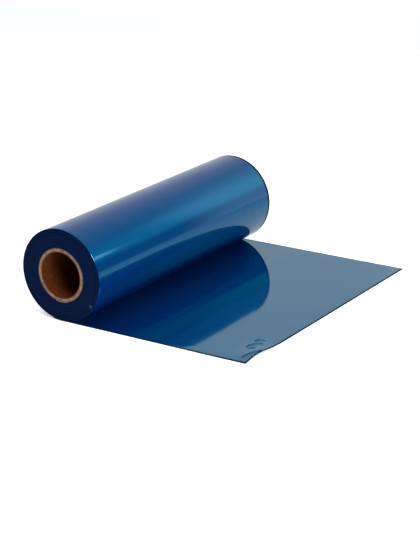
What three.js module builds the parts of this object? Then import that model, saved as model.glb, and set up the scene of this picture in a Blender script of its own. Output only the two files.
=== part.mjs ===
// A roll of sign vinyl: 50 m of film wound, face out, on a spiral-wound paperboard core.
// The roll lies on its side on a table. The last of the web has run out from under it and lies
// flat on the table, still joined to the roll at the nip, the line where roll, web and table meet.
//
// Units are millimetres. +Z is up, +Y runs along the roll's axis and +X along the laid-out web,
// away from the roll. The origin is on the table, under the middle of the roll.

import * as THREE from "three";

// Driving dimensions.
const WEB_WIDTH = 508; // a 20 inch web
const CORE_BORE = 76.2; // the 3 inch bore that roll holders take
const CORE_WALL = 6.6;
const PLY_COUNT = 7; // paperboard strips wound one over the other
const GLUE_LINE = 0.05; // between two plies
const WOUND_DIAMETER = 153.5; // over the turns that are on the roll
const TAIL_LENGTH = 347; // web laid out beyond the nip

// The web's layers, from the face that is outermost on the roll and down on the table.
const LAYERS = [
  { layer: "film", thickness: 0.08 },
  { layer: "adhesive", thickness: 0.03 },
  { layer: "liner", thickness: 0.1 },
];
const BOND_GAP = 0.02; // between two layers of the web
const TAPE = { width: 25, thickness: 0.2 }; // sticks the web's first edge to the core
const TURN_GAP = 0.05; // between pieces wound tightly over each other
const RUNNING_GAP = 0.15; // between the turning roll and the web that leaves it
const NIP_FLAT = 7; // the roll's weight presses the web flat this far behind the nip
const NIP_SEAM = 0.3; // between the flat web and the web that rises behind it
const NIP_WRAP = 14; // degrees round from the nip where the web has joined the roll

const CORE_STEPS = 48; // facets in a turn of the core
const TURN_STEPS = 96; // facets in a turn of the web
const ARC_STEPS = 8; // facets in a short arc

const total = (values) => values.reduce((sum, value) => sum + value, 0);
const webThickness =
  total(LAYERS.map((each) => each.thickness)) + BOND_GAP * (LAYERS.length - 1);
const coreRadius = CORE_BORE / 2 + CORE_WALL;
const woundRadius = WOUND_DIAMETER / 2;
const axisHeight = woundRadius + RUNNING_GAP + webThickness;

// Colours and finishes of the real materials.
const finish = (color, roughness, metalness = 0) =>
  new THREE.MeshStandardMaterial({ color, roughness, metalness });
const materials = {
  kraft: finish(0x8a6a4c, 0.85),
  greyboard: finish(0xa08a76, 0.9),
  tape: finish(0xd8d2bc, 0.6),
  film: finish(0x0a4f86, 0.3, 0.5),
  adhesive: finish(0x7f9db4, 0.4),
  liner: finish(0x12507f, 0.1),
};

function named(name, geometry, material) {
  const mesh = new THREE.Mesh(geometry, material);
  mesh.name = name;
  return mesh;
}

// A plain tube about the Y axis, as wide as the web.
function tube(inner, outer, steps) {
  const end = WEB_WIDTH / 2;
  const corners = [
    [inner, end],
    [outer, end],
    [outer, -end],
    [inner, -end],
    [inner, end],
  ];
  const section = corners.map(([radius, y]) => new THREE.Vector2(radius, y));
  return new THREE.LatheGeometry(section.reverse(), steps);
}

// Part of such a tube, between two angles in degrees round from straight down, towards -X.
function arc(inner, outer, from, to) {
  const turned = (degrees) => THREE.MathUtils.degToRad(-90 - degrees);
  const section = new THREE.Shape()
    .absarc(0, 0, outer, turned(from), turned(to), true)
    .absarc(0, 0, inner, turned(to), turned(from), false)
    .closePath();
  const solid = new THREE.ExtrudeGeometry(section, {
    depth: WEB_WIDTH,
    bevelEnabled: false,
    curveSegments: ARC_STEPS,
  });
  return solid.translate(0, 0, -WEB_WIDTH / 2).rotateX(Math.PI / 2);
}

// The core's plies, from the one that lines the bore to the one that the web is wound on. Each
// is a straight strip wound as a helix whose edges meet, so that it closes to a tube.
function core() {
  const group = new THREE.Group();
  const step = (CORE_WALL + GLUE_LINE) / PLY_COUNT;
  for (let i = 0; i < PLY_COUNT; i++) {
    const inner = CORE_BORE / 2 + i * step;
    const isSkin = i === 0 || i === PLY_COUNT - 1;
    group.add(
      named(
        `core_ply_${i + 1}`,
        tube(inner, inner + step - GLUE_LINE, CORE_STEPS),
        isSkin ? materials.kraft : materials.greyboard,
      ),
    );
  }
  return group;
}

// A stretch of web: its layers, from the film in or up to the liner. Each layer is made by
// shape(low, high), where low and high are its faces' depths below the film's outer face.
function web(prefix, shape) {
  const group = new THREE.Group();
  let depth = 0;
  for (const { layer, thickness } of LAYERS) {
    group.add(
      named(
        `${prefix}_${layer}`,
        shape(depth, depth + thickness),
        materials[layer],
      ),
    );
    depth += thickness + BOND_GAP;
  }
  return group;
}

// One turn of the web on the roll, over the given radius.
const turn = (prefix, outer) =>
  web(prefix, (low, high) => tube(outer - high, outer - low, TURN_STEPS));

// The web on the roll: the first turn goes over the tape that holds it to the core, and between
// it and the last turn lie all the others, too thin to be drawn one by one.
function woundWeb() {
  const tapeInner = coreRadius + TURN_GAP;
  const tapeOuter = tapeInner + TAPE.thickness;
  const halfTape = THREE.MathUtils.radToDeg(TAPE.width / 2 / tapeInner);
  const firstOuter = tapeOuter + TURN_GAP + webThickness;
  const packInner = firstOuter + TURN_GAP;
  const packOuter = woundRadius - webThickness - TURN_GAP;
  return new THREE.Group().add(
    named(
      "start_tape",
      arc(tapeInner, tapeOuter, -halfTape, halfTape),
      materials.tape,
    ),
    turn("first_turn", firstOuter),
    named("wound_turns", tube(packInner, packOuter, TURN_STEPS), materials.film),
    turn("last_turn", woundRadius),
  );
}

// The web that has left the roll and comes down to the table, where the roll presses it flat.
function nipWeb() {
  const outer = woundRadius + RUNNING_GAP + webThickness;
  const start = Math.asin((NIP_FLAT + NIP_SEAM) / (outer - webThickness));
  return web("nip", (low, high) =>
    arc(outer - high, outer - low, THREE.MathUtils.radToDeg(start), NIP_WRAP),
  );
}

// The web laid out on the table, from just behind the nip to its free edge.
function laidWeb() {
  const length = NIP_FLAT + TAIL_LENGTH;
  return web("tail", (low, high) =>
    new THREE.BoxGeometry(length, WEB_WIDTH, high - low).translate(
      length / 2 - NIP_FLAT,
      0,
      (low + high) / 2,
    ),
  );
}

const roundAxis = new THREE.Group();
roundAxis.position.z = axisHeight;
roundAxis.add(core(), woundWeb(), nipWeb());

export default new THREE.Group().add(roundAxis, laidWeb());
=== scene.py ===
"""A roll of glossy metallic blue sign vinyl on its paperboard core, lying on its side with the last
of the web laid out flat in front of it. Metres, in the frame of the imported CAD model: +Z up, +Y
along the roll's axis, +X along the laid-out web, origin on the table under the roll's middle."""

import math
import random

import bmesh
import bpy
from mathutils import Matrix, Vector


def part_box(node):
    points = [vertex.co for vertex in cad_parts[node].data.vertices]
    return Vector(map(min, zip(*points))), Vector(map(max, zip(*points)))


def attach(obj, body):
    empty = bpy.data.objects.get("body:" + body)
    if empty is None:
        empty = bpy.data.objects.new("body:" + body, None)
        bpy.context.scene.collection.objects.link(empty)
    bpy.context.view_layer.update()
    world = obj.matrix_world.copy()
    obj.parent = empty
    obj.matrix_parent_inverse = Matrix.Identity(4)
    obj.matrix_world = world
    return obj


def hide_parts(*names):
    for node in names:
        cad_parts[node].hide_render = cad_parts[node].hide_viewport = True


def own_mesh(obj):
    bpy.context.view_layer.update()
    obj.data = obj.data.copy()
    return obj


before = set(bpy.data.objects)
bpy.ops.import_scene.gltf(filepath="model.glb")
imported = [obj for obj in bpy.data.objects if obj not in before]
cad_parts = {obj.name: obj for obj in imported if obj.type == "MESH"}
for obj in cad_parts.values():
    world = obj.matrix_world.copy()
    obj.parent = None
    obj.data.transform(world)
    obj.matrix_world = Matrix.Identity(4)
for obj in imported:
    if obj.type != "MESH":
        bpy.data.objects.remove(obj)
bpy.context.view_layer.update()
rng = random.Random(7)

MM = 0.001

# the roll's two ends and its axis, and the two ends of the laid-out web
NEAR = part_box("wound_turns")[0].y
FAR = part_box("wound_turns")[1].y
AXIS_Z = sum(corner.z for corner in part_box("core_ply_1")) / 2
FREE_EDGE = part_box("tail_liner")[1].x
REAR_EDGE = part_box("tail_liner")[0].x

# the wound laps, the band at the last turn's far edge that is painted dark as shade, and a pale spot
# painted on the near end as a glint
LAP_PITCH = 0.25 * MM
FAR_PAINTED_SHADE = 4.2 * MM
GLINT_SPOT_PLACE = (0.0577, NEAR, 0.035)

# the laid-out web: its pressed-down slit edges, how far in they are painted dark as shade, and
# where its free edge's lip and its creased corner begin
SHEET_EDGE = 1.2 * MM
PAINTED_SHADE_REACH = 2.6 * MM
LIP_X = 0.295
CREASED_X = 0.3
CREASED_Y = -0.145

# the studio: the floor, the card, and the ways to the backdrop and the softbox
FLOOR_REACH = 8.0
FLOOR_END = 1.9
CARD_BEHIND = 0.8
BACKDROP_WAY = (-0.554, 0.832)
SOFTBOX_WAY = (0.5, 0.866)


def ring(node):
    """A ring node's inner and outer radius about the roll's axis."""
    points = (v.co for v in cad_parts[node].data.vertices)
    radii = [math.hypot(p.x, p.z - AXIS_Z) for p in points]
    return min(radii), max(radii)


# ---------------------------------------------------------------- materials


def add(tree, kind, inputs=None, **settings):
    """A new shader node, with its settings, and its inputs given as values or as sockets to link."""
    made = tree.nodes.new(kind)
    for name, value in settings.items():
        setattr(made, name, value)
    for name, value in (inputs or {}).items():
        if isinstance(value, bpy.types.NodeSocket):
            tree.links.new(value, made.inputs[name])
        else:
            made.inputs[name].default_value = value
    return made


def new_material(name):
    """An empty material: its node tree, its Principled shader and its object coordinates."""
    material = bpy.data.materials.new(name)
    material.use_nodes = True
    tree = material.node_tree
    shader = tree.nodes["Principled BSDF"]
    place = add(tree, "ShaderNodeTexCoord").outputs["Object"]
    return material, tree, shader, place


def ramp(tree, fac, *stops):
    """A colour ramp with the given (position, colour) stops."""
    made = add(tree, "ShaderNodeValToRGB", {"Fac": fac})
    elements = made.color_ramp.elements
    while len(elements) < len(stops):
        elements.new(0.5)
    for element, (position, color) in zip(elements, stops):
        element.position = position
        element.color = (*color, 1)
    return made.outputs["Color"]


def grey(value):
    """A grey for a ramp's stop."""
    return (value, value, value)


def grey_alpha(value):
    """A grey for a node's colour socket."""
    return (value, value, value, 1)


def maths(tree, operation, *values):
    """A value worked out from numbers or from other values."""
    made = add(tree, "ShaderNodeMath", dict(enumerate(values)), operation=operation)
    return made.outputs["Value"]


def tint(tree, share, first, second):
    """The first colour, going over to the second as share goes from nothing to one. Sockets 6, 7
    and 2 are the Mix node's colours."""
    made = add(tree, "ShaderNodeMix", {"Factor": share, 6: first, 7: second}, data_type="RGBA")
    return made.outputs[2]


def noise_of(tree, place, scale, detail=3.0, stretch=(1, 1, 1), roughness=0.5):
    """Noise over a place, with its coordinates stretched along each axis."""
    mapped = add(tree, "ShaderNodeMapping", {"Vector": place, "Scale": stretch})
    made = add(
        tree,
        "ShaderNodeTexNoise",
        {
            "Vector": mapped.outputs["Vector"],
            "Scale": scale,
            "Detail": detail,
            "Roughness": roughness,
        },
    )
    return made.outputs["Fac"]


def bump(tree, height, strength, distance):
    """A relief, from a height."""
    inputs = {"Height": height, "Strength": strength, "Distance": distance}
    return add(tree, "ShaderNodeBump", inputs).outputs["Normal"]


def vinyl(name, deep, bright, gleam, roughness, ior=1.5):
    """Glossy vinyl: a deep blue film under a tinted gloss. Its blue and its gloss vary a little
    from place to place, as coated film does, and fine pigment speckles it."""
    material, tree, shader, place = new_material(name)
    clouds = noise_of(tree, place, 9, stretch=(1, 0.35, 1))
    pigment = noise_of(tree, place, 2500, detail=1)
    mixed = maths(tree, "MULTIPLY_ADD", pigment, 0.25, maths(tree, "MULTIPLY", clouds, 0.75))
    tree.links.new(
        ramp(tree, mixed, (0.35, deep), (0.65, bright)), shader.inputs["Base Color"]
    )
    haze = noise_of(tree, place, 30, detail=4)
    tree.links.new(
        ramp(tree, haze, (0.3, grey(roughness[0])), (0.75, grey(roughness[1]))),
        shader.inputs["Roughness"],
    )
    shader.inputs["IOR"].default_value = ior
    shader.inputs["Specular IOR Level"].default_value = 1.0
    shader.inputs["Specular Tint"].default_value = (*gleam, 1)
    swell = noise_of(tree, place, 14, detail=1, stretch=(1, 0.6, 1))
    tree.links.new(bump(tree, swell, 0.06, 2 * MM), shader.inputs["Normal"])
    return material


def plain(name, colors, scale, roughness, stretch=(1, 1, 1), relief=0.0, gleam=0.15):
    """A plain material: noise between two colours, with a relief of its own."""
    material, tree, shader, place = new_material(name)
    mottle = noise_of(tree, place, scale, detail=5, stretch=stretch)
    tree.links.new(
        ramp(tree, mottle, (0.3, colors[0]), (0.7, colors[1])),
        shader.inputs["Base Color"],
    )
    shader.inputs["Roughness"].default_value = roughness
    shader.inputs["Specular IOR Level"].default_value = gleam
    if relief:
        tree.links.new(bump(tree, mottle, 0.6, relief), shader.inputs["Normal"])
    return material


def slit_edges(name, deep, bright, glint_paint):
    """The slit edges of the wound web, almost black: rings of slightly different laps, with a few
    pale specks painted on as glints, and one larger painted glint on the near end."""
    material, tree, shader, place = new_material(name)
    from_axis = add(tree, "ShaderNodeMapping", {"Vector": place, "Location": (0, 0, -AXIS_Z)})
    flat = add(
        tree,
        "ShaderNodeVectorMath",
        {0: from_axis.outputs["Vector"], 1: (1, 0, 1)},
        operation="MULTIPLY",
    )
    radius = add(
        tree, "ShaderNodeVectorMath", {0: flat.outputs["Vector"]}, operation="LENGTH"
    ).outputs["Value"]
    rings = add(
        tree,
        "ShaderNodeTexNoise",
        {"W": radius, "Scale": 480, "Detail": 4, "Roughness": 0.75},
        noise_dimensions="1D",
    ).outputs["Fac"]
    laps = ramp(tree, rings, (0.35, deep), (0.7, bright))
    # painted glints: a few pale specks scattered over the end, and a larger pale spot near the nip
    glint_cells = add(tree, "ShaderNodeTexVoronoi", {"Vector": place, "Scale": 110})
    glint_dots = ramp(tree, glint_cells.outputs["Distance"], (0.03, grey(1)), (0.06, grey(0)))
    glint_scatter = ramp(tree, noise_of(tree, place, 40), (0.62, grey(0)), (0.66, grey(1)))
    painted_glints = tint(tree, glint_dots, grey_alpha(0), glint_scatter)
    to_glint_spot = add(tree, "ShaderNodeVectorMath", {0: place, 1: GLINT_SPOT_PLACE}, operation="DISTANCE")
    glint_spot = ramp(tree, to_glint_spot.outputs["Value"], (0.0004, grey(0.55)), (0.0013, grey(0)))
    painted_glints = maths(tree, "MAXIMUM", painted_glints, glint_spot)
    tree.links.new(tint(tree, painted_glints, laps, (*glint_paint, 1)), shader.inputs["Base Color"])
    shader.inputs["Roughness"].default_value = 0.6
    shader.inputs["Specular IOR Level"].default_value = 0.04
    return material


VINYL = vinyl(
    "glossy_vinyl",
    deep=(0.0, 0.011, 0.092),
    bright=(0.0, 0.016, 0.116),
    gleam=(0.0, 0.7, 1.0),
    roughness=(0.07, 0.11),
)
LINER = vinyl(
    "release_liner",
    deep=(0.0, 0.0145, 0.087),
    bright=(0.0, 0.0195, 0.104),
    gleam=(0.0, 1.0, 0.9),
    roughness=(0.04, 0.07),
    ior=1.6,
)
# painted shade: a near-black material put where the edges of the sheets and of the last turn lie in
# shade
EDGE_SHADE_PAINT = plain("painted_edge_shade", ((0.0, 0.003, 0.012), (0.001, 0.006, 0.02)), 90, 0.6, gleam=0.05)
ADHESIVE = plain("adhesive", ((0.002, 0.02, 0.07), (0.004, 0.03, 0.09)), 60, 0.5)
# the slit edges' colours, and the pale colour of the glints painted on them
EDGES = slit_edges(
    "slit_edges",
    deep=(0.0, 0.0015, 0.016),
    bright=(0.0015, 0.013, 0.056),
    glint_paint=(0.1, 0.14, 0.25),
)
KRAFT = plain(
    "kraft", ((0.076, 0.017, 0.003), (0.13, 0.036, 0.008)), 220, 0.85, relief=0.1 * MM, gleam=0.05
)
GREYBOARD = plain(
    "greyboard", ((0.12, 0.07, 0.052), (0.3, 0.2, 0.15)), 160, 0.9, relief=0.1 * MM, gleam=0.05
)
TAPE = plain("tape", ((0.6, 0.55, 0.45), (0.7, 0.66, 0.55)), 100, 0.5)
LAYERS = (("film", VINYL), ("adhesive", ADHESIVE), ("liner", LINER))

# ---------------------------------------------------------------- pieces


def piece(name, mesh, material, body, slot, *nodes, smooth=True):
    """A finished piece of the object, in place of its CAD nodes."""
    obj = bpy.data.objects.new(name, mesh)
    bpy.context.scene.collection.objects.link(obj)
    mesh.materials.append(material)
    mesh.polygons.foreach_set("use_smooth", [smooth] * len(mesh.polygons))
    if smooth:
        mesh.set_sharp_from_angle(angle=math.radians(35))
    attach(obj, body)
    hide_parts(*nodes)
    return obj


def about_axis(radius, angle, y):
    """The point at a radius and an angle round the roll's axis, from straight up towards +X."""
    return (radius * math.sin(angle), y, AXIS_Z + radius * math.cos(angle))


def revolve(name, section, steps, arc=None):
    """A closed section of (radius, y) points turned about the roll's axis: all the way round, or
    only from one angle to another, with its two ends capped."""
    start, end = arc or (0.0, 2 * math.pi)
    count = len(section)
    places = steps + 1 if arc else steps
    angles = [start + (end - start) * i / steps for i in range(places)]
    verts = [about_axis(radius, angle, y) for angle in angles for radius, y in section]
    faces = []
    for i in range(steps):
        here, there = i * count, (i + 1) % places * count
        for j in range(count):
            k = (j + 1) % count
            faces.append((here + j, here + k, there + k, there + j))
    if arc:
        faces += [tuple(range(count))[::-1], tuple(range(steps * count, places * count))]
    mesh = bpy.data.meshes.new(name)
    mesh.from_pydata(verts, [], faces)
    return mesh


def ring_section(inner, outer, bevel):
    """A ring's section with bevelled corners."""
    return [
        (outer, NEAR + bevel),
        (outer, FAR - bevel),
        (outer - bevel, FAR),
        (inner + bevel, FAR),
        (inner, FAR - bevel),
        (inner, NEAR + bevel),
        (inner + bevel, NEAR),
        (outer - bevel, NEAR),
    ]


def seamed_ply(name, inner, outer, bevel, steps):
    """The innermost ply, a strip of paper wound as a helix and trimmed at both ends: its butt seam
    runs round the bore as a fine groove."""
    pitch, wide, deep = 115 * MM, 0.7 * MM, 0.2 * MM
    low, high = NEAR + bevel, FAR - bevel
    seams = math.ceil((high - low) / pitch) + 2
    groove = ((-wide, 0), (-wide / 2, deep), (wide / 2, deep), (wide, 0))
    count = 4 + 4 * seams
    verts, faces = [], []
    for i in range(steps):
        angle = 2 * math.pi * i / steps
        middles = [low + (k - 1 + i / steps) * pitch for k in range(seams)]
        section = [(inner, low)]
        for middle in middles:
            for aside, depth in groove:
                y = middle + aside
                inside = low < y < high
                section.append((inner + (depth if inside else 0), min(max(y, low), high)))
        section += [(inner + bevel, FAR), (outer, FAR), (outer, NEAR)]
        verts += [about_axis(radius, angle, y) for radius, y in section]
    for i in range(steps):
        last = i == steps - 1
        for j in range(count):
            k = (j + 1) % count
            here = (i * count + j, i * count + k)
            there = [(i + 1) % steps * count + n for n in (j, k)]
            if last:
                there = [min(n + 4, 4 * seams) if 0 < n <= 4 * seams else n for n in (j, k)]
            faces.append((*here, there[1], there[0]))
    mesh = bpy.data.meshes.new(name)
    mesh.from_pydata(verts, [], faces)
    shape = bmesh.new()
    shape.from_mesh(mesh)
    bmesh.ops.remove_doubles(shape, verts=shape.verts, dist=1e-7)
    bmesh.ops.dissolve_degenerate(shape, edges=shape.edges, dist=1e-7)
    bmesh.ops.recalc_face_normals(shape, faces=shape.faces)
    shape.to_mesh(mesh)
    shape.free()
    return mesh


def make_core():
    """The paperboard core: kraft inside and outside, greyboard between, with trimmed ends."""
    plies, bevel, steps = 7, 0.12 * MM, 192
    for i in range(plies):
        node = f"core_ply_{i + 1}"
        name = node + "_paper"
        inner, outer = ring(node)
        if i == 0:
            mesh = seamed_ply(name, inner, outer, bevel, steps)
        else:
            mesh = revolve(name, ring_section(inner, outer, bevel), steps)
        if i in (0, plies - 1):
            piece(name, mesh, KRAFT, "roll", "kraft", node)
        else:
            piece(name, mesh, GREYBOARD, "roll", "greyboard", node)


def make_wound_turns():
    """The turns between the first and the last, whose slit edges drift in and out a little."""
    inner, outer = ring("wound_turns")
    laps = int((outer - inner) / LAP_PITCH)
    pitch = (outer - inner) / laps
    setback, unevenness, slant = 0.25 * MM, 0.09 * MM, 0.05 * MM
    near, far = [], []
    for side in (near, far):
        drift = 0.0
        for i in range(laps):
            drift = 0.8 * drift + rng.uniform(-1, 1) * unevenness
            out = drift - setback
            radius = inner + i * pitch
            side += [(radius, out), (radius + 0.8 * pitch, out - slant)]
    section = [(r, NEAR - d) for r, d in reversed(near)] + [(r, FAR + d) for r, d in far]
    section = section[::-1]
    mesh = revolve("wound_laps", section, 160)
    piece("wound_laps", mesh, EDGES, "roll", "film", "wound_turns", smooth=False)


def last_section(inner, outer, steps):
    """A layer's section on the outermost turn. The turn lies a little short of the ones under it,
    and its slit edges are rounded over, as (distance from the edge, drop) in millimetres."""
    rounding = ((0.0, 0.2), (0.3, 0.11), (0.7, 0.03), (1.2, 0.0), (5.4, 0.0))
    near, far = NEAR + 0.5 * MM, FAR - 0.3 * MM
    into = [near + across * MM for across, _ in rounding]
    into += [near + (far - near) * i / steps for i in range(1, steps)]
    into += [far - across * MM for across, _ in reversed(rounding)]
    drops = [drop * MM for _, drop in rounding]
    drops += [0] * (steps - 1) + drops[::-1]
    side = list(zip(drops, into))
    return [(outer - drop, y) for drop, y in side] + [(inner - drop, y) for drop, y in side[::-1]]


def paint_edge_shade(mesh, beyond):
    """Painted shade on a sheet's turned-down edge, which catches no light: the faces past a line."""
    mesh.materials.append(EDGE_SHADE_PAINT)
    for face in mesh.polygons:
        if beyond(face.center) > 0:
            face.material_index = 1


def make_turns():
    """The innermost and the outermost turn, each of three layers."""
    for turn in ("first_turn", "last_turn"):
        last = turn == "last_turn"
        for layer, material in LAYERS:
            node = f"{turn}_{layer}"
            name = node + "_lap"
            inner, outer = ring(node)
            if last:
                section = last_section(inner, outer, 60 if layer == "film" else 2)
            else:
                section = ring_section(inner, outer, 0.01 * MM)
            mesh = revolve(name, section, 256 if last else 160)
            piece(name, mesh, material, "roll", layer, node)
            if last:
                # painted shade over the last turn's far edge
                paint_edge_shade(mesh, lambda place: place.y - FAR + FAR_PAINTED_SHADE)


def make_tape():
    """The strip that holds the web's first edge to the core."""
    inner, outer = ring("start_tape")
    half = math.asin(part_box("start_tape")[1].x / outer)
    section = ring_section(inner, outer, 0.02 * MM)
    mesh = revolve("start_tape_strip", section, 16, arc=(math.pi - half, math.pi + half))
    piece("start_tape_strip", mesh, TAPE, "roll", "tape", "start_tape")


def make_nip():
    """The web's short curve from the roll down to the table, in three layers."""
    for layer, material in LAYERS:
        node = f"nip_{layer}"
        name = node + "_web"
        inner, outer = ring(node)
        low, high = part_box(node)
        section = ((outer, NEAR), (outer, FAR), (inner, FAR), (inner, NEAR))
        arc = [math.pi - math.asin(x / outer) for x in (high.x, low.x)]
        mesh = revolve(name, section, 24, arc)
        piece(name, mesh, material, "nip", layer, node)


CREASES = (
    ((0.311, -0.168), (0.313, -0.16), (0.319, -0.158)),
    (
        (0.325, -0.173),
        (0.318, -0.178),
        (0.3135, -0.188),
        (0.314, -0.196),
        (0.319, -0.199),
        (0.3255, -0.196),
    ),
    ((0.3325, -0.236), (0.335, -0.223), (0.3395, -0.211), (0.345, -0.201)),
)


def smooth_step(value, low, high):
    """Nothing below low, one above high, and smooth between them."""
    share = min(max((value - low) / (high - low), 0.0), 1.0)
    return share * share * (3 - 2 * share)


def bell(distance, width):
    """One in the middle, and almost nothing at twice the width from it."""
    return math.exp(-((distance / width) ** 2))


def to_crease(x, y, points):
    """The distance from a place on the web to a crease."""
    place = Vector((x, y))
    nearest = math.inf
    for start, end in zip(points, points[1:]):
        start, along = Vector(start), Vector(end) - Vector(start)
        share = min(max((place - start).dot(along) / along.length_squared, 0), 1)
        nearest = min(nearest, (place - start - along * share).length)
    return nearest


def web_height(x, y):
    """How far the laid-out web stands off the table. It lies flat but for its edges, which droop
    a little, and its free edge near one corner, which is buckled upwards and creased."""
    to_edge = min(FREE_EDGE - x, y - NEAR, FAR - y)
    droop = 0.35 * smooth_step(to_edge, 0, 5 * MM) + 0.15 * smooth_step(to_edge, 0, 18 * MM)
    height = droop * MM * smooth_step(x, 0.04, 0.16)
    lip = max(0, (x - LIP_X) / (FREE_EDGE - LIP_X)) ** 1.3
    height += lip * 2.4 * MM * bell(y + 0.214, 0.036)
    if x > CREASED_X and y < CREASED_Y:
        nearest = min(to_crease(x, y, points) for points in CREASES)
        height += 1.0 * MM * bell(nearest, 2.3 * MM)
    return height


def pulled_in(x, y):
    """Where a place on the web lies along it: the buckle draws the free edge in a little."""
    buckle = 4.5 * MM * bell(y + 0.216, 0.036)
    return x - buckle * smooth_step(x, CREASED_X, FREE_EDGE)


def spread(*stretches):
    """Numbers along stretches of (start, end, step), the last end included."""
    numbers = []
    for start, end, step in stretches:
        count = max(1, round((end - start) / step))
        numbers += [start + (end - start) * i / count for i in range(count)]
    return numbers + [stretches[-1][1]]


def to_free_edge(place):
    """How far a place lies inside the laid-out web's free edge."""
    return pulled_in(FREE_EDGE, place.y) - place.x


def past_painted_shade_line(place):
    """How far a place is past the line where a laid-out sheet's edge is painted dark as shade."""
    nearest = min(to_free_edge(place), (place.y - NEAR) / 1.6, (FAR - place.y) / 1.6)
    return PAINTED_SHADE_REACH - nearest


def press_down(x, y):
    """How much of a sheet's height off the table is left at a place: its slit edges are pressed
    down."""
    to_edge = min(FREE_EDGE - x, y - NEAR, FAR - y)
    bent = max(0, 1 - to_edge / SHEET_EDGE) ** 2
    return 1 - 0.6 * bent


def sheet_mesh(name, low, high, xs, ys):
    """A closed sheet between two heights, over a grid of places on the web."""
    wide = len(ys)
    verts, faces = [], []
    for z in (high, low):
        for x in xs:
            for y in ys:
                verts.append((pulled_in(x, y), y, z * press_down(x, y) + web_height(x, y)))
    half = len(verts) // 2
    for i in range(len(xs) - 1):
        for j in range(wide - 1):
            a = i * wide + j
            b = a + wide
            faces.append((a, b, b + 1, a + 1))
            faces.append((half + a, half + a + 1, half + b + 1, half + b))
    rim = [i * wide for i in range(len(xs))]
    rim += [(len(xs) - 1) * wide + j for j in range(1, wide)]
    rim += [i * wide + wide - 1 for i in range(len(xs) - 2, -1, -1)]
    rim += [j for j in range(wide - 2, 0, -1)]
    for a, b in zip(rim, rim[1:] + rim[:1]):
        faces.append((b, a, half + a, half + b))
    mesh = bpy.data.meshes.new(name)
    mesh.from_pydata(verts, [], faces)
    return mesh


def make_tail():
    """The laid-out web's three sheets, finely divided where it is creased. Their slit edges are
    thin, and painted dark as shade."""
    fine_x, fine_y = CREASED_X - 20 * MM, CREASED_Y + 10 * MM
    xs = spread(
        (REAR_EDGE, fine_x, 8 * MM),
        (fine_x, FREE_EDGE - SHEET_EDGE, 0.9 * MM),
        (FREE_EDGE - SHEET_EDGE, FREE_EDGE, SHEET_EDGE / 3),
    )
    ys = spread(
        (NEAR, NEAR + SHEET_EDGE, SHEET_EDGE / 3),
        (NEAR + SHEET_EDGE, fine_y, 0.9 * MM),
        (fine_y, FAR - 6 * MM, 4 * MM),
        (FAR - 6 * MM, FAR - SHEET_EDGE, 1.2 * MM),
        (FAR - SHEET_EDGE, FAR, SHEET_EDGE / 3),
    )
    for layer, material in LAYERS:
        node = f"tail_{layer}"
        name = node + "_sheet"
        low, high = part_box(node)
        mesh = sheet_mesh(name, low.z, high.z, xs, ys)
        obj = piece(name, mesh, material, "laid_web", layer, node)
        # painted shade along the sheets' edges
        paint_edge_shade(mesh, past_painted_shade_line)
        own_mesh(obj)


make_core()
make_wound_turns()
make_turns()
make_tape()
make_nip()
make_tail()

# ---------------------------------------------------------------- stage, light and camera


def fade(tree, value, low, high):
    """Nothing below low, one above high, and smooth between them."""
    inputs = {"Value": value, "From Min": low, "From Max": high}
    made = add(tree, "ShaderNodeMapRange", inputs, interpolation_type="SMOOTHSTEP")
    return made.outputs["Result"]


def rest_of(tree, share):
    """What a share leaves of one."""
    return maths(tree, "SUBTRACT", 1.0, share)


def blend_values(tree, share, first, second):
    """The first value, going over to the second as share goes from nothing to one."""
    from_first = maths(tree, "MULTIPLY", rest_of(tree, share), first)
    from_second = maths(tree, "MULTIPLY", share, second)
    return maths(tree, "ADD", from_first, from_second)


def towards(tree, direction, x, y, z=0.0):
    """How far a direction points along another."""
    made = add(
        tree, "ShaderNodeVectorMath", {0: direction, 1: (x, y, z)}, operation="DOT_PRODUCT"
    )
    return made.outputs["Value"]


def times_mirrored(tree):
    """How many times what is seen has been mirrored: twice where one sheet mirrors another."""
    return add(tree, "ShaderNodeLightPath").outputs["Glossy Depth"]


def twice_mirrored(tree, colour, left=(0.1, 0.92, 0.84, 1)):
    """A light's colour, which loses its red when one sheet mirrors it in another, as light does
    that the first mirror has polarised."""
    twice = maths(tree, "GREATER_THAN", times_mirrored(tree), 1.5)
    kept = tint(tree, twice, grey_alpha(1), left)
    made = add(tree, "ShaderNodeVectorMath", {0: colour, 1: kept}, operation="MULTIPLY")
    return made.outputs["Vector"]


def stage_panel(name, corners):
    """A flat panel of the stage, with four corners."""
    mesh = bpy.data.meshes.new(name)
    mesh.from_pydata(corners, [], [(0, 1, 2, 3)])
    obj = bpy.data.objects.new(name, mesh)
    bpy.context.scene.collection.objects.link(obj)
    return obj


def make_floor():
    """A pale floor that ends behind the roll, so that the roll mirrors the backdrop above it. In
    mirror images it glows a little, and it is cooler to the right."""
    front = ((-FLOOR_REACH, -FLOOR_REACH, 0), (FLOOR_REACH, -FLOOR_REACH, 0))
    back = ((FLOOR_REACH, FLOOR_END, 0), (-FLOOR_REACH, FLOOR_END, 0))
    floor = stage_panel("floor", front + back)
    material, tree, shader, place = new_material("floor")
    shader.inputs["Roughness"].default_value = 0.8
    mirrored = add(tree, "ShaderNodeLightPath").outputs["Is Glossy Ray"]
    to_right = fade(tree, towards(tree, place, 1, 0), 0.0, 0.3)
    right = maths(tree, "MULTIPLY", mirrored, to_right)
    colour = tint(tree, right, grey_alpha(0.9), (0.62, 0.88, 1.0, 1))
    colour = twice_mirrored(tree, colour, (0.1, 0.6, 0.75, 1))
    glow = blend_values(tree, mirrored, 0.42, 0.12)
    tree.links.new(colour, shader.inputs["Base Color"])
    tree.links.new(colour, shader.inputs["Emission Color"])
    tree.links.new(glow, shader.inputs["Emission Strength"])
    floor.data.materials.append(material)


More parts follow.
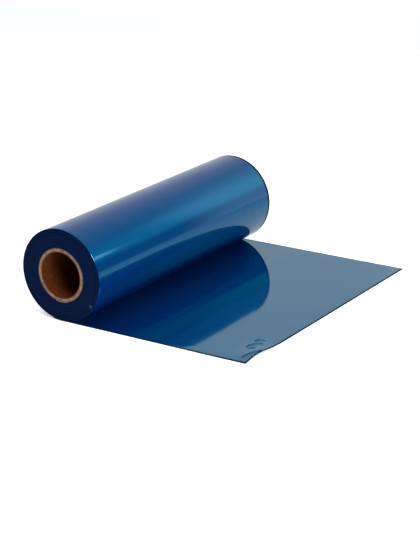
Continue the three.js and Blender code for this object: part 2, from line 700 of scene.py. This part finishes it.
def make_world():
    """The studio around the roll: a pale room, with a white backdrop behind the roll, a cool
    softbox to the back right and a dim stretch of wall below it. Seen directly, it is white."""
    world = bpy.data.worlds.new("studio")
    world.use_nodes = True
    tree = world.node_tree
    direction = add(tree, "ShaderNodeTexCoord").outputs["Generated"]
    height = towards(tree, direction, 0, 0, 1)
    away = towards(tree, direction, *BACKDROP_WAY)
    aside = towards(tree, direction, *SOFTBOX_WAY)
    seen = add(tree, "ShaderNodeLightPath").outputs["Is Camera Ray"]
    unseen = rest_of(tree, seen)

    # where the backdrop is, and where the softbox and the wall below it are
    backdrop = fade(tree, away, 0.7, 0.9)
    not_behind = rest_of(tree, fade(tree, away, 0.5, 0.85))
    not_above = rest_of(tree, fade(tree, height, 0.5, 0.75))
    cool = maths(tree, "MULTIPLY", fade(tree, aside, 0.5, 0.7), not_behind)
    cool = maths(tree, "MULTIPLY", cool, not_above)

    # how bright each part is, from the wall up to the ceiling
    cool_below = maths(tree, "MULTIPLY_ADD", times_mirrored(tree), 0.6, -0.1)
    cool_above = maths(tree, "MULTIPLY_ADD", times_mirrored(tree), -0.35, 1.6)
    below = blend_values(tree, cool, 0.25, cool_below)
    softbox = blend_values(tree, cool, 0.85, cool_above)
    wall = blend_values(tree, fade(tree, height, 0.16, 0.31), below, softbox)
    room = blend_values(tree, fade(tree, height, 0.4, 0.66), wall, 0.78)
    front = blend_values(tree, fade(tree, towards(tree, direction, 0, 1), -0.2, 0.3), 0.5, 1.0)
    behind = blend_values(tree, fade(tree, height, 0.33, 0.45), 0.84, 0.76)
    studio = blend_values(tree, backdrop, maths(tree, "MULTIPLY", room, front), behind)

    # the colour of each part, and what a second mirror leaves of it, low down and higher up
    white = tint(tree, fade(tree, height, 0.1, 0.25), grey_alpha(1), (1.04, 1.02, 1.14, 1))
    colour = tint(tree, backdrop, (0.84, 0.99, 1.1, 1), white)
    colour = tint(tree, cool, colour, (0.15, 1.0, 1.05, 1))
    colour = tint(tree, unseen, grey_alpha(1), colour)
    higher = fade(tree, height, 0.2, 0.4)
    left = tint(tree, higher, (0.03, 1.1, 0.66, 1), (0.1, 0.76, 1.05, 1))
    colour = twice_mirrored(tree, colour, left)

    background = tree.nodes["Background"]
    tree.links.new(colour, background.inputs["Color"])
    tree.links.new(blend_values(tree, seen, studio, 1.0), background.inputs["Strength"])
    bpy.context.scene.world = world


def make_card():
    """A pale card standing to the back right, which the far half of the roll mirrors. It glows
    in its middle and fades to nothing at its edges, and only mirrors show it."""
    left, right, high = -0.1, 0.85, 0.9
    foot = ((left, CARD_BEHIND, 0), (right, CARD_BEHIND, 0))
    top = ((right, CARD_BEHIND, high), (left, CARD_BEHIND, high))
    card = stage_panel("card", foot + top)
    material, tree, shader, place = new_material("lit_card")
    right_edge = fade(tree, towards(tree, place, 1, 0, 0.2), 0.58, 0.77)
    left_edge = fade(tree, towards(tree, place, 1, 0), -0.05, 0.42)
    across = maths(tree, "MULTIPLY", rest_of(tree, right_edge), left_edge)
    height = towards(tree, place, 0, 0, 1)
    upper_edge = fade(tree, height, 0.5, 0.85)
    lower_edge = fade(tree, height, 0.02, 0.07)
    upwards = maths(tree, "MULTIPLY", rest_of(tree, upper_edge), lower_edge)
    glow = maths(tree, "MULTIPLY", across, upwards)
    colour = twice_mirrored(tree, (1.0, 0.75, 0.9))
    light = add(tree, "ShaderNodeEmission", {"Color": colour, "Strength": glow}).outputs["Emission"]
    clear = add(tree, "ShaderNodeBsdfTransparent").outputs["BSDF"]
    both = add(tree, "ShaderNodeAddShader", {0: light, 1: clear}).outputs["Shader"]
    tree.links.new(both, tree.nodes["Material Output"].inputs["Surface"])
    card.data.materials.append(material)
    card.visible_camera = False
    card.visible_diffuse = False
    card.visible_shadow = False


def make_softbox(name, place, aim, size, power, mirrored=False, colour=(1, 1, 1)):
    """A square of light. It either lights things, or is only seen mirrored in them."""
    light = bpy.data.lights.new(name, "AREA")
    light.shape = "RECTANGLE"
    light.size = size
    light.size_y = size
    light.energy = power
    light.color = colour
    obj = bpy.data.objects.new(name, light)
    bpy.context.scene.collection.objects.link(obj)
    obj.location = place
    obj.rotation_euler = (Vector(aim) - Vector(place)).to_track_quat("-Z", "Y").to_euler()
    obj.visible_camera = False
    obj.visible_glossy = mirrored
    obj.visible_diffuse = not mirrored


def make_camera():
    """The camera, to the front right of the roll's near end and a little above it."""
    azimuth, elevation, tilt = math.radians(33.65), math.radians(19.16), math.radians(-0.77)
    target, distance = Vector((0.0913, 0.0356, 0.0166)), 2.859
    back = Vector(
        (
            math.sin(azimuth) * math.cos(elevation),
            -math.cos(azimuth) * math.cos(elevation),
            math.sin(elevation),
        )
    )
    right = (-back).cross(Vector((0, 0, 1))).normalized()
    up = back.cross(right)
    right, up = (
        right * math.cos(tilt) + up * math.sin(tilt),
        up * math.cos(tilt) - right * math.sin(tilt),
    )
    camera = bpy.data.cameras.new("camera")
    camera.lens = 112.1
    obj = bpy.data.objects.new("camera", camera)
    bpy.context.scene.collection.objects.link(obj)
    place = target + back * distance
    obj.matrix_world = Matrix.Translation(place) @ Matrix((right, up, back)).transposed().to_4x4()
    bpy.context.scene.camera = obj


make_floor()
make_world()
make_softbox("key", (-0.6, -0.4, 2.2), aim=(0.1, 0, 0), size=2.4, power=34)
make_softbox("side", (2.3, -1.3, 1.2), aim=(0, -0.25, 0.08), size=0.9, power=50)
make_card()
make_softbox(
    "glint",
    (1.2, 0.33, 0.9),
    aim=(0.05, -0.25, 0.1),
    size=0.4,
    power=36,
    mirrored=True,
    colour=(1, 0.3, 0.27),
)
make_softbox(
    "gleam",
    (0.75, 0.65, 0.525),
    aim=(0.07, -0.24, 0.115),
    size=0.09,
    power=0.08,
    mirrored=True,
    colour=(1, 0.75, 0.75),
)
make_camera()
scene = bpy.context.scene
scene.view_settings.view_transform = "Standard"
